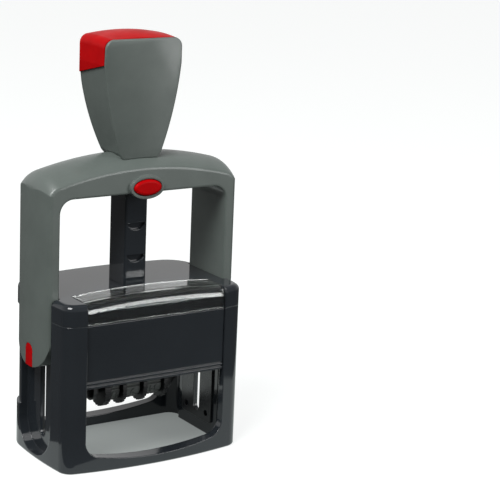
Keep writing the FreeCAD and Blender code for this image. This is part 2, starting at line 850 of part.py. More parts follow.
def cap_section(y, middle, side):
    """Upright outline of the red cap at depth y, with its crown in the middle and at the corners."""
    h = grip_top_half_width
    r = grip_top_corner_radius
    low = plate_edge - cap_rear_drop - overrun
    diagonal = r * math.sqrt(2) / 2
    top = [point(h - r, y, side), point(0, y, middle), point(r - h, y, side)]
    bends = [[point(sign * h, y, side - r), point(sign * (h - r + diagonal), y, side - r + diagonal),
              point(sign * (h - r), y, side)] for sign in (1, -1)]
    edges = [Part.makeLine(point(-h, y, low), point(h, y, low)), Part.makeLine(point(h, y, low), bends[0][0]),
             Part.Arc(*bends[0]).toShape(), Part.Arc(*top).toShape(),
             Part.Arc(*reversed(bends[1])).toShape(), Part.makeLine(bends[1][0], point(-h, y, low))]
    return Part.Wire(edges)


def make_grip_cap():
    """Red crowned cap, which also wraps the top of the grip's rear."""
    sections = [cap_section(grip_plate - grip_top_front, plate_edge + cap_front_crown, plate_edge),
                cap_section(cap_crown_place, grip_top, plate_edge + cap_side_crown),
                cap_section(grip_top_rear, plate_edge + cap_rear_crown, plate_edge + cap_rear_side_crown)]
    crowned = Part.makeLoft(sections, True)
    edge = [e for e in crowned.Edges if near(e.BoundBox.YMin, grip_top_rear)
            and e.BoundBox.ZMax > plate_edge - cap_front_drop]
    crowned = crowned.makeFillet(cap_edge_radius, edge)
    tall = grip_prism(0).common(block(-half_width, half_width, -grip_reach, grip_reach, grip_base,
                                      grip_height_at(grip_widest_share)))
    above = block(-half_width, half_width, -grip_reach, grip_reach, grip_height_at(grip_widest_share),
                  grip_top + overlap)
    cap = crowned.common(joined(tall, [above]))
    return cap.common(grip_side(grip_plate, 0)).common(cap_region())


# Lock button
def make_lock_button():
    """Red oval button with the latch stem behind it."""
    boss_front = -leg_half_depth - bezel_proud
    button = oval_prism(button_half_width, button_half_height, boss_front - button_proud,
                        boss_front + button_depth)
    rim = edges_where(button, lambda p: near(p.y, boss_front - button_proud))
    button = button.makeFillet(button_crown, rim)
    tip = -column_depth / 2 - latch_rest_gap
    back = boss_front + button_depth
    stem = Part.makeCylinder(latch_radius, tip - back, point(0, back, button_height), point(0, 1, 0))
    return joined(button, [stem])


# Carriage, drawn at rest: printing side up, date wheels down
def tilted(shape):
    """Lifts a carriage piece, drawn about its pivot, to the axle's height."""
    shape.translate(point(0, 0, axle_height))
    return shape


def make_carriage_frame():
    """Ring under the printing plate, end plates with hubs, arms and webs for the date wheels."""
    ring = prism_z(rectangle(end_plate_outside, ring_depth / 2, ring_corner_radius), ring_low, ring_high)
    half = ring_depth / 2 - ring_corner_radius
    plate_side = [(-half, ring_high, 0), (half, ring_high, 0), (half, ring_low, 0),
                  (end_plate_neck, -end_plate_foot, 0), (-end_plate_neck, -end_plate_foot, 0),
                  (-half, ring_low, 0)]
    ends = both_sides(prism_x(plate_side, end_plate_inside, end_plate_outside))
    hubs = both_sides(rod(end_plate_inside, hub_outside, hub_radius, 0, 0))
    arm_side = [(-arm_top_half_depth, ring_high, 0), (arm_top_half_depth, ring_high, 0),
                (arm_top_half_depth, ring_low, 0), (arm_end_radius, -wheel_drop / 2, 0),
                (arm_end_radius, -wheel_drop, 0), (-arm_end_radius, -wheel_drop, 0),
                (-arm_end_radius, -wheel_drop / 2, 0), (-arm_top_half_depth, ring_low, 0)]
    arms = []
    webs = []
    for start, outward in ((arm_left, -1), (arm_right, 1)):
        arms.append(prism_x(arm_side, start, start + arm_thickness))
        arms.append(rod(start, start + arm_thickness, arm_end_radius, 0, -wheel_drop))
        root = start + arm_thickness / 2
        web_side = [(root, ring_low + overlap, 0), (root, -web_bottom, 0),
                    (outward * (web_end - web_chamfer), -web_bottom, 0),
                    (outward * web_end, web_chamfer - web_bottom, 0),
                    (outward * web_end, ring_low + overlap, 0)]
        webs.append(prism_y(web_side, -web_thickness / 2, web_thickness / 2))
    slot = block(arm_left + arm_thickness, arm_right, -date_slot_half_depth - band_thickness,
                 date_slot_half_depth + band_thickness, ring_low - overrun, ring_high + overrun)
    slot = slot.cut(block(-half_width, half_width, -half_depth, half_depth,
                          ring_low - overrun, ring_low))
    frame = joined(ring.cut(slot), ends + hubs + arms + webs)
    bores = both_sides(rod(end_plate_inside + hub_bore_margin, hub_outside + overrun,
                           axle_radius + axle_running_clearance, 0, 0))
    axle_hole = rod(arm_left - overrun, arm_right + overrun, wheel_axle_radius, 0, -wheel_drop)
    axle_reach = block(arm_left, arm_right + arm_thickness, -half_depth, half_depth, -half_width, 0)
    return tilted(frame.cut(bores + [axle_hole.common(axle_reach)]))


def make_flip_cam():
    """Cross-shaped cam around the right hub, which turns the carriage over."""
    lobe = block(end_plate_outside, end_plate_outside + cam_thickness, -cam_radius, cam_radius,
                 -cam_lobe_width / 2, cam_lobe_width / 2)
    other = block(end_plate_outside, end_plate_outside + cam_thickness, -cam_lobe_width / 2,
                  cam_lobe_width / 2, -cam_radius, cam_radius)
    core = rod(end_plate_outside, end_plate_outside + cam_thickness, hub_radius + cam_lobe_width / 4, 0, 0)
    outer = rod(end_plate_outside, end_plate_outside + cam_thickness, cam_radius, 0, 0)
    hole = rod(end_plate_outside, end_plate_outside + cam_thickness, hub_radius, 0, 0)
    return tilted(joined(core, [lobe, other]).common(outer).cut(hole))


def date_slot(z0, z1):
    """The opening in the plate and the rubber where the date bands come through."""
    return block(arm_left + arm_thickness - die_date_slot_margin, arm_right + die_date_slot_margin,
                 -date_slot_half_depth, date_slot_half_depth, z0, z1)


def make_text_plate():
    """Carrier plate for the rubber, with the slot for the date."""
    plate = prism_z(rectangle(plate_length / 2, plate_height / 2, plate_corner_radius), ring_high, plate_top)
    return tilted(plate.cut(date_slot(ring_high, plate_top)))


def make_rubber_die():
    """Rubber with a plain raised border and two blank bars, one on each side of the date."""
    hx = plate_length / 2
    hy = plate_height / 2
    base = prism_z(rectangle(hx, hy, plate_corner_radius), plate_top, die_base_top)
    outer = block(die_border_inset - hx, hx - die_border_inset, die_border_inset - hy,
                  hy - die_border_inset, die_base_top, die_face)
    inset = die_border_inset + die_border
    border = outer.cut(block(inset - hx, hx - inset, inset - hy, hy - inset, die_base_top, die_face))
    bars = []
    for side in (-1, 1):
        middle = side * die_bar_offset
        bars.append(block(-die_bar_length / 2, die_bar_length / 2, middle - die_bar_width / 2,
                          middle + die_bar_width / 2, die_base_top, die_face))
    return tilted(joined(base, [border] + bars).cut(date_slot(plate_top, die_face)))


def band_face(x, shrink):
    """Side outline of a date band: round the drum below, flat over the bridge above.

    The straight runs touch both circles. Their outward normal makes an angle with the line
    between the two centres whose cosine is the difference of the radii over that line's length.
    """
    big = band_radius - shrink
    small = band_top_radius - shrink
    top_y = band_top_half_depth
    top_z = die_face - band_top_radius
    line = point(0, top_y, top_z + wheel_drop)
    normal = math.atan2(line.z, line.y) - math.acos((big - small) / line.Length)
    upright = math.pi / 2

    def around(side, centre_y, centre_z, radius, angle):
        return point(x, side * (centre_y + radius * math.cos(angle)), centre_z + radius * math.sin(angle))

    drum = [around(side, 0, -wheel_drop, big, normal) for side in (1, -1)]
    bends = [[around(side, top_y, top_z, small, a) for a in (normal, (normal + upright) / 2, upright)]
             for side in (1, -1)]
    edges = [Part.Arc(drum[0], point(x, 0, -wheel_drop - big), drum[1]).toShape(),
             Part.makeLine(drum[1], bends[1][0]), Part.Arc(*bends[1]).toShape(),
             Part.makeLine(bends[1][2], bends[0][2]), Part.Arc(*reversed(bends[0])).toShape(),
             Part.makeLine(bends[0][0], drum[0])]
    return Part.Face(Part.Wire(edges))


def make_date_band(drum_left, width):
    """One rubber date band, an endless loop."""
    left = drum_left + band_side_gap
    outer = band_face(left, 0).extrude(point(width, 0, 0))
    inner = band_face(left, band_thickness).extrude(point(width, 0, 0))
    return tilted(outer.cut(inner))


def make_band_bridge():
    """Bar between the arms, which holds the bands flat at the printing face."""
    half = band_top_half_depth + band_top_radius - band_thickness - bridge_clearance
    top = die_face - band_thickness - bridge_clearance
    outline = [(-half, top - bridge_height, 0), (half, top - bridge_height, 0),
               (half, top, bridge_corner_radius), (-half, top, bridge_corner_radius)]
    return tilted(prism_x(outline, arm_left + arm_thickness, arm_right))


def toothed_disc(left, thickness):
    """Thumb disc of a date wheel, with small square teeth round its rim."""
    disc = rod(left, left + thickness, wheel_disc_radius, 0, 0)
    pitch = 2 * math.pi / wheel_tooth_count
    gap = pitch * wheel_tooth_share * wheel_disc_radius
    floor = wheel_disc_radius - wheel_tooth_depth
    gaps = []
    for i in range(wheel_tooth_count):
        notch = block(left, left + thickness, -gap / 2, gap / 2, floor, wheel_disc_radius + overlap)
        notch.rotate(point(0, 0, 0), point(1, 0, 0), math.degrees(i * pitch))
        gaps.append(notch)
    return disc.cut(gaps)


def make_date_wheel(discs, drum_left, drum_width):
    """A date wheel: one or two thumb discs and the drum that drives the band."""
    wheel = rod(drum_left, drum_left + drum_width, drum_radius, 0, 0)
    wheel = joined(wheel, [toothed_disc(left, thickness) for left, thickness in discs])
    first = min(left for left, thickness in discs)
    bore = rod(first - overlap, drum_left + drum_width + disc_thickness + overlap,
               wheel_axle_radius + wheel_bore_clearance, 0, 0)
    wheel = wheel.cut(bore)
    wheel.translate(point(0, 0, wheel_height))
    return wheel


# Ink pad and its drawer
def make_pad_drawer():
    """Drawer that holds the ink pad face down and pulls out at the rear."""
    rear = panel_plane()
    tray = block(-drawer_half_width, drawer_half_width, -drawer_front, cavity_half_depth,
                 drawer_bottom, drawer_top)
    flange = block(-flange_half_width, flange_half_width, -drawer_front, cavity_half_depth,
                   flange_bottom, flange_bottom + drawer_flange_thickness)
    face = block(-face_half_width, face_half_width, cavity_half_depth, rear, face_bottom, face_top)
    drawer = joined(tray, [flange, face])
    room = block(-pad_length / 2 - pad_side_gap, pad_length / 2 + pad_side_gap,
                 -pad_depth / 2 - pad_side_gap, pad_depth / 2 + pad_side_gap,
                 drawer_bottom - overlap, pad_top)
    grips = []
    for i in range(drawer_grip_count):
        middle = (i - (drawer_grip_count - 1) / 2) * drawer_grip_pitch
        grips.append(block(middle - drawer_grip_width / 2, middle + drawer_grip_width / 2,
                           rear - drawer_grip_depth, rear + overlap,
                           face_bottom + drawer_grip_width, face_top - drawer_grip_width))
    return drawer.cut([room] + grips)


def make_ink_pad():
    """Felt ink pad."""
    return block(-pad_length / 2, pad_length / 2, -pad_depth / 2, pad_depth / 2, pad_bottom, pad_top)


def make_return_spring():
    """Coil spring between the column's bore and the roof of the grip's room."""
    length = head_room - column_bore_bottom - 2 * spring_wire
    helix = Part.makeHelix(length / spring_turns, length, spring_radius)
    start = helix.Edges[0].valueAt(helix.Edges[0].FirstParameter)
    heading = helix.Edges[0].tangentAt(helix.Edges[0].FirstParameter)
    section = Part.Wire([Part.makeCircle(spring_wire, start, heading)])
    spring = Part.Wire(helix.Edges).makePipeShell([section], True, True)
    spring.translate(point(0, 0, column_bore_bottom + spring_wire))
    return spring


def build():
    """Makes every sub-part and stores it under its node's name."""
    panel_top = case_height - panel_seam
    keep("base_case", make_base_case())
    keep("top_cover", make_top_cover())
    keep("front_panel", make_panel(-1, front_panel_bottom, panel_top, lip_groove_count))
    keep("rear_panel", make_panel(1, rear_panel_bottom, face_bottom - drawer_gap, 0))
    keep("index_window", make_index_window())
    keep("index_card", make_index_card())
    keep("guide_column", make_guide_column())
    keep("return_spring", make_return_spring())
    frame, caps = make_bow_parts()
    keep("bow_frame", frame)
    front, rear = make_grip_plates()
    keep("grip_front_plate", front)
    keep("grip_rear_plate", rear)
    keep("grip_core", make_grip_core())
    keep("grip_cap", make_grip_cap())
    keep("lock_button", make_lock_button())
    pairs = {"guide_plate": make_guide_plate(), "axle_cap": caps, "axle_pin": make_axle_pin(),
             "flip_cam": make_flip_cam()}
    for name, shape in pairs.items():
        keep("right_" + name, shape)
        keep("left_" + name, mirrored(shape))
    keep("carriage_frame", make_carriage_frame())
    keep("text_plate", make_text_plate())
    keep("rubber_die", make_rubber_die())
    keep("band_bridge", make_band_bridge())
    keep("wheel_axle", rod(arm_left, arm_right + arm_thickness, wheel_axle_radius, 0, wheel_height))
    bands = {"day": (day_drum_left, day_band_width), "month": (month_drum_left, month_band_width),
             "year": (year_drum_left, year_band_width)}
    discs = {"day": [(day_disc_left, day_disc_thickness)], "month": [(month_disc_left, disc_thickness)],
             "year": [(year_disc_left, disc_thickness), (year_end_disc_left, disc_thickness)]}
    for name, (drum_left, width) in bands.items():
        keep(name + "_band", make_date_band(drum_left, width))
        keep(name + "_wheel", make_date_wheel(discs[name], drum_left, width + 2 * band_side_gap))
    keep("pad_drawer", make_pad_drawer())
    keep("ink_pad", make_ink_pad())


def export():
    """Writes each node to its own STEP file."""
    os.makedirs("parts", exist_ok=True)
    for name, shape in nodes.items():
        shape.exportStep(os.path.join("parts", name + ".step"))


build()
export()
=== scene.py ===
"""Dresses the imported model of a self-inking date stamp for a studio photograph.

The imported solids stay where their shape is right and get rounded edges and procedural
finishes. The date bands and the return spring are modelled here, because their raised
numbers and their coils are finer than the solids. All sizes are in metres, in the model's frame.
"""
import json
import logging
import math
from dataclasses import dataclass, field
from enum import Enum

import bpy
import numpy as np
from mathutils import Matrix, Vector


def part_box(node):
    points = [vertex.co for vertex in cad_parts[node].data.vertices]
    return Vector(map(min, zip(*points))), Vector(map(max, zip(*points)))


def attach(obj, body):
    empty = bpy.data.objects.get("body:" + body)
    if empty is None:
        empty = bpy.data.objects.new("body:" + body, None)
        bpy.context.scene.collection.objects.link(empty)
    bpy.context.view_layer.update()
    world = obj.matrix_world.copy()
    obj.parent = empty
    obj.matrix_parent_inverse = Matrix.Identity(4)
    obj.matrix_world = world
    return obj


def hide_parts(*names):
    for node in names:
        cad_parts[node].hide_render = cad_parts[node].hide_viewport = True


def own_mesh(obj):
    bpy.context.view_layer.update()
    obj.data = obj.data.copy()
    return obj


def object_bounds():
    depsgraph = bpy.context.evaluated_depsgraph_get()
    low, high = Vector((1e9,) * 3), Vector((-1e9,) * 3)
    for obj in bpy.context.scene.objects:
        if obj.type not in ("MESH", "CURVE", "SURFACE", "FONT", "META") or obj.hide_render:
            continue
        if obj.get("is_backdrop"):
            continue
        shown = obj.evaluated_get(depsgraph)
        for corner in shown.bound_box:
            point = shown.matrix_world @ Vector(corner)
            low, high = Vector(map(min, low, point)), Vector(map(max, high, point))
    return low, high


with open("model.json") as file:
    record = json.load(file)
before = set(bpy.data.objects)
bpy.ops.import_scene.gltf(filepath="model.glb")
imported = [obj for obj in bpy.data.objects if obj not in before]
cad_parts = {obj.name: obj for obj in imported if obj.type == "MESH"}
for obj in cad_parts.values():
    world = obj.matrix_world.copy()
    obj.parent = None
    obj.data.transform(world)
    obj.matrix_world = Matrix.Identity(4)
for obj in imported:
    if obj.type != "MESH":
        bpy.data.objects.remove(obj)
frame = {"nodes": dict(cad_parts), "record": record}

logging.basicConfig(level=logging.INFO, format="%(message)s")
log = logging.getLogger("stamp")

MM = 0.001
MIX_FIRST, MIX_SECOND, MIX_RESULT = 6, 7, 2  # the colour sockets of a Mix node
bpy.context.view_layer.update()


class Tone(Enum):
    """Surface colours as sRGB hex values, read from the photograph."""

    GREY_SHELL = "5E6662"
    GREY_SHELL_DEEP = "565E5A"
    BLACK = "262A2E"
    BLACK_DEEP = "22262A"
    RED = "B40509"
    RED_DEEP = "A20307"
    CARRIAGE = "1B1D1F"
    DIAL = "17181A"
    BAND = "4A4E4C"
    BAND_WORN = "404442"
    DIE = "8E4A3C"
    DIE_DEEP = "7D3E32"
    STEEL = "B4B6B8"
    STEEL_DEEP = "8E9092"
    BLUED = "24272A"
    BLUED_DEEP = "1A1C1E"
    FELT = "1A2044"
    FELT_DEEP = "10142E"
    CARD = "2A2D2C"
    PAPER = "949A98"
    GLOW = "FFFFFF"
    GLOW_GREY = "F2FAF8"
    CLEAR = "F2F6F4"


def linear(tone: Tone) -> tuple:
    """Converts a tone to linear light.

    Each sRGB channel c becomes c / 12.92 below 0.04045 and ((c + 0.055) / 1.055) ** 2.4 above it.

    Args:
        tone: The sRGB colour.

    Returns:
        Red, green, blue and an alpha of one.
    """
    channels = [int(tone.value[i:i + 2], 16) / 255 for i in (0, 2, 4)]
    light = [c / 12.92 if c <= 0.04045 else ((c + 0.055) / 1.055) ** 2.4 for c in channels]
    return (*light, 1.0)


class Graph:
    """A material's or a world's node tree, with one way to add a node."""

    def __init__(self, owner: bpy.types.ID) -> None:
        """Empties the owner's tree.

        Args:
            owner: The material or world whose nodes are made.
        """
        owner.use_nodes = True
        self.tree = owner.node_tree
        self.tree.nodes.clear()

    def add(self, kind: str, settings: dict = None, numbered: dict = None, **inputs) -> bpy.types.Node:
        """Adds a node with its settings and links.

        Args:
            kind: The node's type, without the ShaderNode prefix.
            settings: Properties of the node itself.
            numbered: Values or sockets for inputs that share a name, by their number.
            **inputs: Values or sockets for its inputs by name; an underscore stands for a space.

        Returns:
            The new node.
        """
        node = self.tree.nodes.new("ShaderNode" + kind)
        for key, value in (settings or {}).items():
            setattr(node, key, value)
        named = {key.replace("_", " "): value for key, value in inputs.items()}
        for key, value in {**named, **(numbered or {})}.items():
            socket = node.inputs[key]
            if isinstance(value, bpy.types.NodeSocket):
                self.tree.links.new(value, socket)
            else:
                socket.default_value = value
        return node


@dataclass
class Finish:
    """A moulded or worked surface: two close tones, a varying gloss and a fine relief.

    Attributes:
        name: The material's name.
        light: The main tone.
        deep: The tone that clouds it.
        cloud: Size of the clouds of tone.
        grain: Spacing of the fine relief.
        relief: Depth of the fine relief.
        gloss: Lowest and highest roughness.
        coat: Weight of a clear gloss over the surface.
        coat_roughness: Roughness of that gloss.
        metal: Metallic share.
        specular: Level of the plain reflection, one half being ordinary plastic.
        transmission: Share of light that passes through.
        sheen: Weight of the fibres' sheen.
        edge: Radius that the shading gives to sharp edges.
        cloud_range: The noise between which one tone turns into the other.
    """

    name: str
    light: Tone
    deep: Tone
    cloud: float = 14 * MM
    grain: float = 0.35 * MM
    relief: float = 0.012 * MM
    gloss: tuple = (0.4, 0.5)
    coat: float = 0.0
    coat_roughness: float = 0.1
    metal: float = 0.0
    specular: float = 0.5
    transmission: float = 0.0
    sheen: float = 0.0
    edge: float = 0.35 * MM
    cloud_range: tuple = (0.3, 0.7)

    def texture(self, graph: Graph, where: bpy.types.NodeSocket) -> bpy.types.NodeSocket:
        """Makes the fine relief's height.

        Args:
            graph: The tree that gets the nodes.
            where: Object coordinates.

        Returns:
            The height's socket, from zero to one.
        """
        grain = graph.add("TexNoise", None, Vector=where, Scale=1 / self.grain, Detail=3.0, Roughness=0.6)
        return grain.outputs["Fac"]

    def build(self) -> bpy.types.Material:
        """Makes the material.

        Returns:
            The finished material.
        """
        material = bpy.data.materials.new(self.name)
        graph = Graph(material)
        where = graph.add("TexCoord").outputs["Object"]
        clouds = graph.add("TexNoise", None, Vector=where, Scale=1 / self.cloud, Detail=4.0, Roughness=0.55)
        low, high = self.cloud_range
        spread = graph.add("MapRange", None, Value=clouds.outputs["Fac"], From_Min=low, From_Max=high)
        share = spread.outputs["Result"]
        colour = graph.add("Mix", {"data_type": "RGBA"},
                           {MIX_FIRST: linear(self.light), MIX_SECOND: linear(self.deep)}, Factor=share)
        height = self.texture(graph, where)
        rough = graph.add("MapRange", None, Value=share, To_Min=self.gloss[0], To_Max=self.gloss[1])
        soft = graph.add("Bevel", {"samples": 6}, Radius=self.edge)
        bump = graph.add("Bump", None, Height=height, Distance=self.relief, Strength=1.0,
                         Normal=soft.outputs["Normal"])
        shader = graph.add("BsdfPrincipled", None, Base_Color=colour.outputs[MIX_RESULT],
                           Roughness=rough.outputs["Result"], Normal=bump.outputs["Normal"],
                           Metallic=self.metal, Coat_Weight=self.coat,
                           Coat_Roughness=self.coat_roughness, Specular_IOR_Level=self.specular,
                           Transmission_Weight=self.transmission, Sheen_Weight=self.sheen)
        graph.add("OutputMaterial", None, Surface=shader.outputs["BSDF"])
        return material


@dataclass
class BrushedFinish(Finish):
    """Drawn or rolled metal: the relief is stretched along X.

    Attributes:
        stretch: How many times longer than wide the marks are.
    """

    stretch: float = 30.0

    def texture(self, graph: Graph, where: bpy.types.NodeSocket) -> bpy.types.NodeSocket:
        """Makes the marks' height.

        Args:
            graph: The tree that gets the nodes.
            where: Object coordinates.

        Returns:
            The height's socket.
        """
        drawn = graph.add("Mapping", None, Vector=where, Scale=(1 / self.stretch, 1, 1))
        marks = graph.add("TexNoise", None, Vector=drawn.outputs["Vector"], Scale=1 / self.grain, Detail=2.0)
        return marks.outputs["Fac"]


@dataclass
class FeltFinish(Finish):
    """Felt: short fibres that cross, as two stretched noises."""

    def texture(self, graph: Graph, where: bpy.types.NodeSocket) -> bpy.types.NodeSocket:
        """Makes the fibres' height.

        Args:
            graph: The tree that gets the nodes.
            where: Object coordinates.

        Returns:
            The height's socket.
        """
        heights = []
        for scale in ((1, 0.15, 1), (0.15, 1, 1)):
            run = graph.add("Mapping", None, Vector=where, Scale=scale)
            fibre = graph.add("TexNoise", None, Vector=run.outputs["Vector"], Scale=1 / self.grain,
                              Detail=2.0)
            heights.append(fibre.outputs["Fac"])
        both = graph.add("Math", {"operation": "MAXIMUM"}, dict(enumerate(heights)))
        return both.outputs["Value"]


@dataclass
class PaperFinish(Finish):
    """Pale sheet on a lit table, so that most of its light comes through it from below.

    Attributes:
        glow: Strength of the light that comes through.
        glow_tone: Colour of that light.
    """

    glow: float = 0.8
    glow_tone: Tone = Tone.GLOW

    def build(self) -> bpy.types.Material:
        """Makes the paper.

        Returns:
            The finished material.
        """
        material = super().build()
        shader = next(n for n in material.node_tree.nodes if n.type == "BSDF_PRINCIPLED")
        shader.inputs["Emission Color"].default_value = linear(self.glow_tone)
        shader.inputs["Emission Strength"].default_value = self.glow
        return material


FINISHES = {
    # ABS moulded against a spark-eroded tool: a fine grain under a broad, soft sheen
    "grey_shell": Finish("moulded_grey_grain", Tone.GREY_SHELL, Tone.GREY_SHELL_DEEP, gloss=(0.4, 0.48),
                         relief=0.008 * MM, coat=0.25, coat_roughness=0.13, edge=0.6 * MM),
    # Polystyrene moulded against a polished tool: sharp reflections with a slight waviness of
    # the skin, whose 2.5 mm spacing is coarser than real so that it shows
    "black_case": Finish("gloss_black_styrene", Tone.BLACK, Tone.BLACK_DEEP, cloud=30 * MM, grain=2.5 * MM,
                         relief=0.006 * MM, gloss=(0.07, 0.11), edge=0.6 * MM),
    # The same plastic in red, dyed through: a deep colour with hardly any white sheen
    "red_trim": Finish("gloss_red_styrene", Tone.RED, Tone.RED_DEEP, cloud=9 * MM, grain=1.2 * MM,
                       relief=0.004 * MM, gloss=(0.34, 0.42), specular=0.04),
    # Nylon that slides on steel: nearly black, with a dull gloss
    "dark_frame": Finish("moulded_dark_nylon", Tone.CARRIAGE, Tone.DIAL, relief=0.01 * MM,
                         gloss=(0.3, 0.42)),
    # Acetal of the wheels: black and waxy, duller than the case
    "dial_plastic": Finish("moulded_black_acetal", Tone.DIAL, Tone.CARRIAGE, relief=0.006 * MM,
                           gloss=(0.4, 0.5), specular=0.3),
    # Rubber of the date bands: matt grey, patchy where it has been inked
    "band_rubber": Finish("grey_band_rubber", Tone.BAND, Tone.BAND_WORN, cloud=4 * MM,
                          gloss=(0.5, 0.62)),
    # Rubber cut by laser: brick red, with the cut's dry, rough skin
    "die_rubber": Finish("laser_cut_stamp_rubber", Tone.DIE, Tone.DIE_DEEP, cloud=6 * MM, grain=0.25 * MM,
                         relief=0.02 * MM, gloss=(0.6, 0.72)),
    # Steel sheet under black lacquer: the rolled marks show through as fine streaks
    "steel": BrushedFinish("black_lacquered_steel", Tone.BLUED, Tone.BLUED_DEEP, grain=0.15 * MM,
                           relief=0.006 * MM, gloss=(0.24, 0.36)),
    # Drawn spring wire: bright metal with drawing marks
    "spring_steel": BrushedFinish("drawn_spring_wire", Tone.STEEL, Tone.STEEL_DEEP, grain=0.1 * MM,
                                  relief=0.004 * MM, gloss=(0.2, 0.3), metal=1.0),
    # Felt soaked with ink: dark blue, matt, with the fibres' faint sheen
    "ink_felt": FeltFinish("inked_felt", Tone.FELT, Tone.FELT_DEEP, cloud=5 * MM, grain=0.3 * MM,
                           relief=0.08 * MM, gloss=(0.65, 0.8), sheen=0.3),
    # Plain dark card: matt, with a paper's fine tooth
    "card": Finish("plain_dark_card", Tone.CARD, Tone.CARRIAGE, grain=0.1 * MM, relief=0.01 * MM,
                   gloss=(0.6, 0.7)),
    # Clear acrylic: colourless and glossy, with sharp reflections on its rolled edge
    "clear_window": Finish("clear_moulded_acrylic", Tone.CLEAR, Tone.CLEAR, grain=6 * MM,
                           relief=0.001 * MM, gloss=(0.02, 0.04), transmission=1.0),
}


def linked(name: str, mesh: bpy.types.Mesh) -> bpy.types.Object:
    """Puts a mesh in the scene as an object at the origin.

    Args:
        name: The object's name.
        mesh: Its mesh, in the model's frame.

    Returns:
        The new object.
    """
    thing = bpy.data.objects.new(name, mesh)
    bpy.context.scene.collection.objects.link(thing)
    return thing


def grid_mesh(name: str, points: np.ndarray, close_rows: bool, close_columns: bool) -> bpy.types.Mesh:
    """Makes a mesh of four-sided faces from a grid of points.

    Args:
        name: The mesh's name.
        points: Rows by columns by three.
        close_rows: Whether the last row joins the first.
        close_columns: Whether the last column joins the first.

    Returns:
        The mesh, smooth shaded.
    """
    rows, columns = points.shape[:2]
    last_row, last_column = rows - (not close_rows), columns - (not close_columns)
    i, j = np.meshgrid(np.arange(last_row), np.arange(last_column), indexing="ij")
    up, across = (i + 1) % rows, (j + 1) % columns
    faces = np.stack([i * columns + j, i * columns + across,
                      up * columns + across, up * columns + j], axis=-1)
    mesh = bpy.data.meshes.new(name)
    mesh.from_pydata(points.reshape(-1, 3).tolist(), [], faces.reshape(-1, 4).tolist())
    mesh.polygons.foreach_set("use_smooth", np.ones(len(mesh.polygons), bool))
    return mesh


@dataclass
class Piece:
    """A piece of the dressed model.

    Attributes:
        name: The object's name.
        body: The body that it rides on.
        slot: The material slot that it takes its finish from.
        replaces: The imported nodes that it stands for.
    """

    name: str
    body: str
    slot: str
    replaces: tuple = ()

    def mesh(self) -> bpy.types.Mesh:
        """Makes the piece's mesh.

        Returns:
            The mesh in the model's frame.
        """
        raise NotImplementedError

    def build(self, materials: dict) -> bpy.types.Object:
        """Makes the piece, gives it its finish and lets it ride on its body.

        Args:
            materials: The finished materials by slot.

        Returns:
            The new object.
        """
        thing = linked(self.name, self.mesh())
        thing.data.materials.append(materials[self.slot])
        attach(thing, self.body)
        if self.replaces:
            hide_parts(*self.replaces)
        return thing


@dataclass
class Spring(Piece):
    """Return spring with closed, ground ends, wound between the column and the grip's roof.

    Attributes:
        radius: Radius of the coil's middle line.
        wire: Radius of the wire.
        turns: Turns in all.
        closed: Turns at each end that lie against each other.
        steps: Points in one turn.
        sides: Points round the wire.
    """

    radius: float = 3.1 * MM
    wire: float = 0.42 * MM
    turns: float = 17.0
    closed: float = 1.25
    steps: int = 40
    sides: int = 12

    def mesh(self) -> bpy.types.Mesh:
        """Winds the coil.

        The height climbs by one wire's thickness a turn in the closed ends, and evenly between them.

        Returns:
            The coil's mesh.
        """
        low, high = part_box("return_spring")
        bottom, top = low.z + self.wire, high.z - self.wire
        turn = np.linspace(0, self.turns, int(self.turns * self.steps) + 1)
        end_rise = self.closed * 2 * self.wire
        height = np.interp(turn, [0, self.closed, self.turns - self.closed, self.turns],
                           [bottom, bottom + end_rise, top - end_rise, top])
        angle = 2 * math.pi * turn
        out = np.stack([np.cos(angle), np.sin(angle), np.zeros_like(angle)], axis=-1)
        middle = self.radius * out + height[:, None] * np.array([0, 0, 1])
        around = np.linspace(0, 2 * math.pi, self.sides, endpoint=False)
        ring = (np.cos(around)[None, :, None] * out[:, None, :]
                + np.sin(around)[None, :, None] * np.array([0, 0, 1]))
        return grid_mesh(self.name, middle[:, None, :] + self.wire * ring, False, True)

    def build(self, materials: dict) -> bpy.types.Object:
        """Makes the spring and gives it a mesh of its own; the real spring shortens as the bow is pressed,
        which nothing here moves.

        Args:
            materials: The finished materials by slot.

        Returns:
            The new object.
        """
        thing = super().build(materials)
        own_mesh(thing)
        return thing


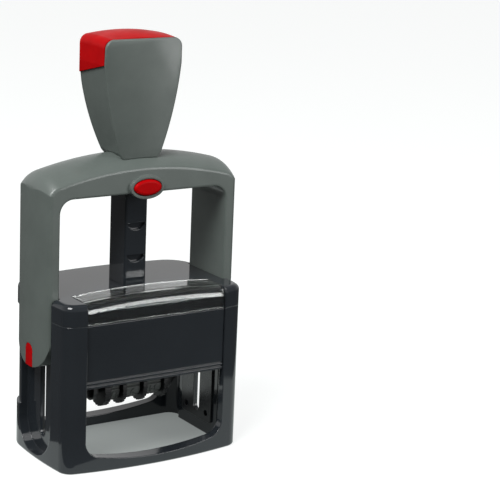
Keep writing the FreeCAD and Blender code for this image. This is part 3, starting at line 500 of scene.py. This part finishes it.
@dataclass
class DateBand(Piece):
    """Rubber date band: an endless loop with raised pads, each with a reversed number.

    Attributes:
        numbers: What the pads carry, in order.
        first: Which of them lies in the middle of the printing face.
        drum: Radius of the loop round the wheel, outside.
        bend: Radius of the loop's bends at the printing face, outside.
        half_flat: Half of the flat at the printing face.
        thickness: Thickness of the loop, raised pads left out.
        pad: Height of the pads.
        pitch: Spacing of the pads.
        pad_length: Length of a pad along the loop.
        numeral: Height of the numbers, across the loop's run.
        pad_edge: Length of the slope at a pad's ends.
        side_edge: Width of the slope at a pad's sides.
        font_share: Size of the font against the height of its numbers.
        width_share: Most of the band's width that a number takes.
        resolution: Points on a bend, the flat, the drum and a straight run.
    """

    numbers: tuple = ()
    first: int = 0
    drum: float = 5.5 * MM
    bend: float = 1.3 * MM
    half_flat: float = 2.4 * MM
    thickness: float = 0.6 * MM
    pad: float = 0.28 * MM
    pitch: float = 4.6 * MM
    pad_length: float = 3.9 * MM
    numeral: float = 3.2 * MM
    pad_edge: float = 0.15 * MM
    side_edge: float = 0.25 * MM
    font_share: float = 1.35
    width_share: float = 0.82
    resolution: tuple = (9, 12, 60, 40)

    def outline(self) -> np.ndarray:
        """Follows the loop's outer face once round in the YZ plane.

        The straight runs touch both circles. The cosine of the angle between their outward normal
        and the line between the centres is the difference of the radii over that line's length.

        Returns:
            Points by four: y, z and the outward normal's y and z.
        """
        low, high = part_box(self.replaces[0])
        drum_z = low.z + self.drum
        bend_z = high.z - self.bend
        line = Vector((self.half_flat, bend_z - drum_z))
        normal = math.atan2(line.y, line.x) - math.acos((self.drum - self.bend) / line.length)
        on_bend, on_flat, on_drum, on_run = self.resolution
        bend = np.linspace(normal, math.pi / 2, on_bend)
        flat = np.linspace(self.half_flat, -self.half_flat, on_flat)[1:-1]
        drum = np.linspace(math.pi - normal, 2 * math.pi + normal, on_drum)
        run = np.linspace(0, 1, on_run)[1:-1]

        def arc(y: float, z: float, radius: float, angles: np.ndarray) -> np.ndarray:
            """Follows a circle: its centre plus the radius times each angle's cosine and sine.

            Args:
                y: The centre's depth.
                z: The centre's height.
                radius: The circle's radius.
                angles: Where its points lie.

            Returns:
                Points by four, as the outline's.
            """
            return np.stack([y + radius * np.cos(angles), z + radius * np.sin(angles),
                             np.cos(angles), np.sin(angles)], axis=-1)

        right = arc(self.half_flat, bend_z, self.bend, bend)
        top = np.stack([flat, np.full_like(flat, high.z), 0 * flat, 0 * flat + 1], axis=-1)
        left = right[::-1] * np.array([-1, 1, -1, 1])
        under = arc(0, drum_z, self.drum, drum)
        down = left[-1] + run[:, None] * (under[0] - left[-1])
        up = under[-1] + run[:, None] * (right[0] - under[-1])
        return np.concatenate([right, top, left, down, under, up])

    def pads(self, path: np.ndarray) -> tuple:
        """Finds how much each place of the loop is raised.

        Args:
            path: The loop's outline.

        Returns:
            The resampled outline, its lengths along the loop, how much each point is raised from
            zero to one, and the pads' middles.
        """
        closed = np.concatenate([path, path[:1]])
        steps = np.linalg.norm(np.diff(closed[:, :2], axis=0), axis=1)
        along = np.concatenate([[0], np.cumsum(steps)])
        count = int(round(along[-1] / self.pitch))
        pitch = along[-1] / count
        on_top = path[:, 1] >= path[:, 1].max() - 1e-6
        start = along[np.argmin(np.where(on_top, np.abs(path[:, 0]), np.inf))]
        middles = (start + pitch * np.arange(count)) % along[-1]
        half, edge = self.pad_length / 2, self.pad_edge
        marks = np.concatenate([middles + offset for offset in (-half - edge, -half, half, half + edge)])
        sampled = np.unique(np.concatenate([along[:-1], marks % along[-1]]).round(7))
        fine = np.stack([np.interp(sampled, along, closed[:, k]) for k in range(4)], axis=-1)
        fine[:, 2:] /= np.linalg.norm(fine[:, 2:], axis=1, keepdims=True)
        half_loop = along[-1] / 2
        apart = (sampled[:, None] - middles[None, :] + half_loop) % along[-1] - half_loop
        away = np.abs(apart).min(axis=1)
        raised = np.clip((half + edge - away) / edge, 0, 1)
        return fine, sampled, raised, middles

    def glyph(self, text: str) -> bpy.types.Mesh:
        """Makes one raised number as a flat mesh with thickness.

        Args:
            text: The number.

        Returns:
            The mesh, centred, in the XY plane, with its back at zero.
        """
        curve = bpy.data.curves.new(self.name + "_" + text, "FONT")
        curve.body = text
        curve.align_x = "CENTER"
        curve.align_y = "CENTER"
        curve.size = self.numeral * self.font_share
        curve.resolution_u = 2
        curve.extrude = self.pad / 2
        thing = bpy.data.objects.new("glyph", curve)
        mesh = bpy.data.meshes.new_from_object(thing)
        bpy.data.objects.remove(thing)
        return mesh

    def mesh(self) -> bpy.types.Mesh:
        """Makes the loop, its pads and their numbers as one mesh.

        The outer face lies one pad's height inside the outline on a pad and two between them.
        A number's points are carried along the outline and lifted along its normal.

        Returns:
            The band's mesh.
        """
        low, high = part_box(self.replaces[0])
        path, sampled, raised, middles = self.pads(self.outline())
        place, normal = path[:, :2], path[:, 2:]
        outer = place - normal * (self.pad * (1 - raised))[:, None] - normal * self.pad
        side = place - normal * 2 * self.pad
        inner = place - normal * self.thickness
        left, right = low.x + self.side_edge, high.x - self.side_edge
        across = [(low.x, inner), (low.x, side), (left, outer),
                  (right, outer), (high.x, side), (high.x, inner)]
        ring = np.stack([np.concatenate([np.full((len(line), 1), x), line], axis=1)
                         for x, line in across], axis=1)
        band = grid_mesh(self.name, ring, True, True)
        verts = [ring.reshape(-1, 3)]
        faces = [tuple(p.vertices) for p in band.polygons]
        bpy.data.meshes.remove(band)
        total = len(verts[0])
        for k, middle in enumerate(middles):
            text = self.numbers[(k + self.first) % len(self.numbers)]
            glyph = self.glyph(text)
            co = np.array([v.co for v in glyph.vertices])
            width = np.ptp(co[:, 0])
            room = (high.x - low.x) * self.width_share
            co[:, 0] *= -min(1, room / width)
            around = middle + co[:, 1]
            spot = np.array([np.interp(around, sampled, path[:, i], period=sampled[-1] + 1e-6)
                             for i in range(4)]).T
            n = spot[:, 2:] / np.linalg.norm(spot[:, 2:], axis=1, keepdims=True)
            lift = co[:, 2] - self.pad / 2
            yz = spot[:, :2] + n * lift[:, None]
            verts.append(np.column_stack([(low.x + high.x) / 2 + co[:, 0], yz]))
            faces += [tuple(total + i for i in p.vertices) for p in glyph.polygons]
            total += len(co)
            bpy.data.meshes.remove(glyph)
        mesh = bpy.data.meshes.new(self.name)
        mesh.from_pydata(np.concatenate(verts).tolist(), [], faces)
        mesh.validate()
        return mesh


@dataclass
class Dresser:
    """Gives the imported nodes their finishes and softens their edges.

    Attributes:
        edges: Rounding of the sharp edges, by node.
        fold: Angle from which an edge counts as sharp.
        flat: Angle up to which neighbouring facets are one flat face.
        weld: Distance under which points are one.
        segments: Facets across a rounded edge.
    """

    edges: dict = field(default_factory=dict)
    fold: float = math.radians(28)
    flat: float = math.radians(0.6)
    weld: float = 0.001 * MM
    segments: int = 3

    def soften(self, thing: bpy.types.Object, width: float) -> None:
        """Rounds a node's sharp edges with modifiers, so that its own mesh stays as it is.

        Args:
            thing: The node's object.
            width: Width of the rounding.
        """
        weld = thing.modifiers.new("weld", "WELD")
        weld.merge_threshold = self.weld
        merge = thing.modifiers.new("merge_flats", "DECIMATE")
        merge.decimate_type = "DISSOLVE"
        merge.angle_limit = self.flat
        bevel = thing.modifiers.new("edge_rounding", "BEVEL")
        bevel.limit_method = "ANGLE"
        bevel.angle_limit = self.fold
        bevel.width = width
        bevel.segments = self.segments
        bevel.use_clamp_overlap = False
        bevel.harden_normals = True
        bevel.miter_outer = "MITER_ARC"

    def dress(self, nodes: dict, slots: dict, materials: dict) -> None:
        """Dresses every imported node.

        Args:
            nodes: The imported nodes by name.
            slots: The material slot of each node.
            materials: The finished materials by slot.
        """
        for name, thing in nodes.items():
            thing.data.materials.clear()
            thing.data.materials.append(materials[slots[name]])
            thing.data.set_sharp_from_angle(angle=self.fold)
            if name in self.edges:
                self.soften(thing, self.edges[name])
            log.info("node %s in %s", name, slots[name])


@dataclass
class SoftBox:
    """A rectangular studio light that looks at the stamp.

    Attributes:
        name: The light's name.
        azimuth: Direction from the stamp, in degrees; zero is its front, positive to the right.
        elevation: Height of that direction above the floor, in degrees.
        distance: Distance from the stamp's middle.
        size: Width and height.
        power: Power in watts.
    """

    name: str
    azimuth: float
    elevation: float
    distance: float
    size: tuple
    power: float

    def build(self, target: Vector) -> bpy.types.Object:
        """Makes the light.

        Args:
            target: What it looks at.

        Returns:
            The light's object.
        """
        lamp = bpy.data.lights.new(self.name, "AREA")
        lamp.shape = "RECTANGLE"
        lamp.size, lamp.size_y = self.size
        lamp.energy = self.power
        thing = bpy.data.objects.new(self.name, lamp)
        a, e = math.radians(self.azimuth), math.radians(self.elevation)
        away = Vector((math.sin(a) * math.cos(e), -math.cos(a) * math.cos(e), math.sin(e)))
        thing.location = target + away * self.distance
        thing.rotation_euler = away.to_track_quat("Z", "Y").to_euler()
        bpy.context.scene.collection.objects.link(thing)
        return thing


@dataclass
class Camera:
    """The photograph's camera, as a fit of its measured points gives it.

    Attributes:
        image: Width and height of the photograph in pixels.
        focal: Focal length in pixels.
        centre: The pixel where the camera's axis meets the image.
        place: The camera's place.
        azimuth: Its direction from the stamp, in degrees; negative is to the left of the front.
        elevation: Its height above the horizon, in degrees.
        roll: Its turn about its own axis, in degrees.
        sensor: Width of its sensor in millimetres.
        clip: Nearest and farthest that it sees.
    """

    image: tuple = (500, 494)
    focal: float = 1707.18
    centre: tuple = (130.92, 214.31)
    place: tuple = (-0.35168, -0.60574, 0.26152)
    azimuth: float = -30.22
    elevation: float = 12.91
    roll: float = 1.48
    sensor: float = 36.0
    clip: tuple = (0.05, 50.0)

    def build(self) -> bpy.types.Object:
        """Makes the camera and hands it to the scene.

        The columns of its rotation are its right, its up and the way back from what it sees.

        Returns:
            The camera's object.
        """
        a, e, r = (math.radians(v) for v in (self.azimuth, self.elevation, self.roll))
        back = Vector((math.sin(a) * math.cos(e), -math.cos(a) * math.cos(e), math.sin(e)))
        level = Vector((math.cos(a), math.sin(a), 0))
        rise = back.cross(level)
        right = math.cos(r) * level + math.sin(r) * rise
        up = math.cos(r) * rise - math.sin(r) * level
        lens = bpy.data.cameras.new("photo_camera")
        width, height = self.image
        lens.sensor_fit = "HORIZONTAL"
        lens.sensor_width = self.sensor
        lens.lens = self.focal / width * self.sensor
        lens.shift_x = (width / 2 - self.centre[0]) / width
        lens.shift_y = (self.centre[1] - height / 2) / width
        lens.clip_start, lens.clip_end = self.clip
        thing = bpy.data.objects.new("photo_camera", lens)
        thing.matrix_world = Matrix.Translation(self.place) @ Matrix((right, up, back)).transposed().to_4x4()
        bpy.context.scene.collection.objects.link(thing)
        bpy.context.scene.camera = thing
        return thing


@dataclass
class Sky:
    """A sky that is palest low behind the stamp, and dim below the horizon.

    Attributes:
        horizon: Strength of its light near the horizon, behind the stamp.
        zenith: Strength of its light overhead.
        front_share: Share of the light that comes from the front.
        ground: Strength below the horizon, which only reflections see.
        rise: Heights of a direction between which the horizon turns into the zenith.
        depth: Depths of a direction between which the front turns into the rear.
        brink: Heights of a direction between which the ground turns into the sky.
    """

    horizon: float = 1.05
    zenith: float = 0.5
    front_share: float = 0.35
    ground: float = 0.12
    rise: tuple = (0.1, 0.8)
    depth: tuple = (-0.5, 0.5)
    brink: tuple = (-0.06, 0.02)

    def build(self) -> bpy.types.World:
        """Makes the world.

        The strength by height times the share by depth is the sky's, and the ground fades into it.

        Returns:
            The world, which the scene already uses.
        """
        world = bpy.data.worlds.new("studio_sky")
        bpy.context.scene.world = world
        graph = Graph(world)
        place = graph.add("TexCoord").outputs["Generated"]
        way = graph.add("SeparateXYZ", None, Vector=place).outputs
        height = graph.add("MapRange", None, Value=way["Z"], From_Min=self.rise[0], From_Max=self.rise[1],
                           To_Min=self.horizon, To_Max=self.zenith)
        share = graph.add("MapRange", None, Value=way["Y"], From_Min=self.depth[0], From_Max=self.depth[1],
                          To_Min=self.front_share)
        light = graph.add("Math", {"operation": "MULTIPLY"},
                          {0: height.outputs["Result"], 1: share.outputs["Result"]})
        whole = graph.add("MapRange", None, Value=way["Z"], From_Min=self.brink[0], From_Max=self.brink[1],
                          To_Min=self.ground, To_Max=light.outputs["Value"])
        shine = graph.add("Background", None, Strength=whole.outputs["Result"])
        graph.add("OutputWorld", None, Surface=shine.outputs["Background"])
        return world


@dataclass
class Studio:
    """Pale floor, papers under and inside the stamp, the one inside a dim grey sheet that paints shade, soft
    lights and a sky.

    Attributes:
        floor_half: Half of the floor's side.
        floor_glow: Strength of the light that comes through the floor.
        card: Left, right, front and rear edges of the white card under the floor, as the camera faces it.
        card_glow: Strength of the light that comes through the card.
        shade_sheet_edges: The same edges of the dim grey sheet inside the foot, unturned; it paints the
            shade there.
        shade_sheet_corner: How much that sheet's corners are cut.
        shade_sheet_glow: Strength of the light that comes through that sheet, lower than the floor's so that
            it shows as painted shade.
        drop: How far each sheet lies under the next, the uppermost under the stamp's foot.
        lights: The studio's lights.
        sky: The studio's sky.
    """

    floor_half: float = 15.0
    floor_glow: float = 0.8
    card: tuple = (-0.06, 0.14, -0.05, 0.3)
    card_glow: float = 0.82
    shade_sheet_edges: tuple = (-0.0405, 0.0405, -0.0244, 0.0244)
    shade_sheet_corner: float = 4 * MM
    shade_sheet_glow: float = 0.2
    drop: float = 0.05 * MM
    lights: tuple = (
        SoftBox("front", 33, 14, 1.5, (0.62, 0.8), 9.5),
        SoftBox("left_top", -62, 52, 1.0, (0.45, 0.45), 11.0),
    )
    sky: Sky = field(default_factory=Sky)

    def sheet(self, name: str, edges: tuple, height: float, glow: float, turn: float = 0.0,
              corner: float = 0.0, tone: Tone = Tone.GLOW) -> bpy.types.Object:
        """Lays a flat sheet of paper on the stage.

        Args:
            name: The sheet's name.
            edges: Its left, right, front and rear edges.
            height: Its height.
            glow: Strength of the light that comes through it.
            turn: Turn of its edges about the vertical, in degrees.
            corner: How much its corners are cut.
            tone: Colour of the light that comes through it.

        Returns:
            The sheet's object.
        """
        left, right, front, rear = edges
        outline = [(left + corner, front), (right - corner, front), (right, front + corner),
                   (right, rear - corner), (right - corner, rear), (left + corner, rear),
                   (left, rear - corner), (left, front + corner)]
        mesh = bpy.data.meshes.new(name)
        mesh.from_pydata([(x, y, height) for x, y in outline], [], [tuple(range(len(outline)))])
        mesh.transform(Matrix.Rotation(math.radians(turn), 4, "Z"))
        paper = PaperFinish(name + "_paper", Tone.PAPER, Tone.PAPER, relief=0.0, gloss=(0.85, 0.9),
                            specular=0.2, glow=glow, glow_tone=tone)
        mesh.materials.append(paper.build())
        thing = linked(name, mesh)
        thing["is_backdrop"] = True
        return thing

    def build(self) -> None:
        """Makes the floor, the card, the grey sheet of painted shade in the foot, the lights and the sky.

        The floor is thin paper that only the camera and the shadows see, so reflections look
        through it at the card that lies under it.
        """
        half = self.floor_half
        floor = self.sheet("floor", (-half, half, -half, half), -2 * self.drop, self.floor_glow)
        floor.visible_glossy = False
        floor.visible_transmission = False
        floor.visible_diffuse = False
        self.sheet("white_card", self.card, -3 * self.drop, self.card_glow, turn=Camera.azimuth,
                   tone=Tone.GLOW_GREY)
        # Painted shade: a dim grey sheet inside the foot, where the glowing floor would show white.
        self.sheet("painted_shade_sheet", self.shade_sheet_edges, -self.drop, self.shade_sheet_glow, corner=self.shade_sheet_corner,
                   tone=Tone.GLOW_GREY)
        low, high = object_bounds()
        for light in self.lights:
            light.build((low + high) / 2)
        self.sky.build()


def main() -> None:
    """Builds the whole scene."""
    record = frame["record"]
    slots = {part["node"]: part["material_slot"] for part in record["subparts"]}
    materials = {slot: finish.build() for slot, finish in FINISHES.items()}
    Camera().build()
    Dresser({"grip_front_plate": 0.55 * MM}).dress(frame["nodes"], slots, materials)
    days = tuple(str(day) for day in range(1, 32))
    months = tuple(str(month) for month in range(1, 13))
    years = tuple(str(year) for year in range(24, 36))
    pieces = [
        Spring("coil_spring", "housing", "spring_steel", ("return_spring",)),
        DateBand("day_numbers", "carriage", "band_rubber", ("day_band",), numbers=days, first=18),
        DateBand("month_numbers", "carriage", "band_rubber", ("month_band",), numbers=months, first=0),
        DateBand("year_numbers", "carriage", "band_rubber", ("year_band",), numbers=years, first=2),
    ]
    for piece in pieces:
        thing = piece.build(materials)
        log.info("piece %s on %s: %d faces", thing.name, piece.body, len(thing.data.polygons))
    Studio().build()
    bpy.context.scene.view_settings.view_transform = "Standard"


if __name__ == "__main__":
    main()
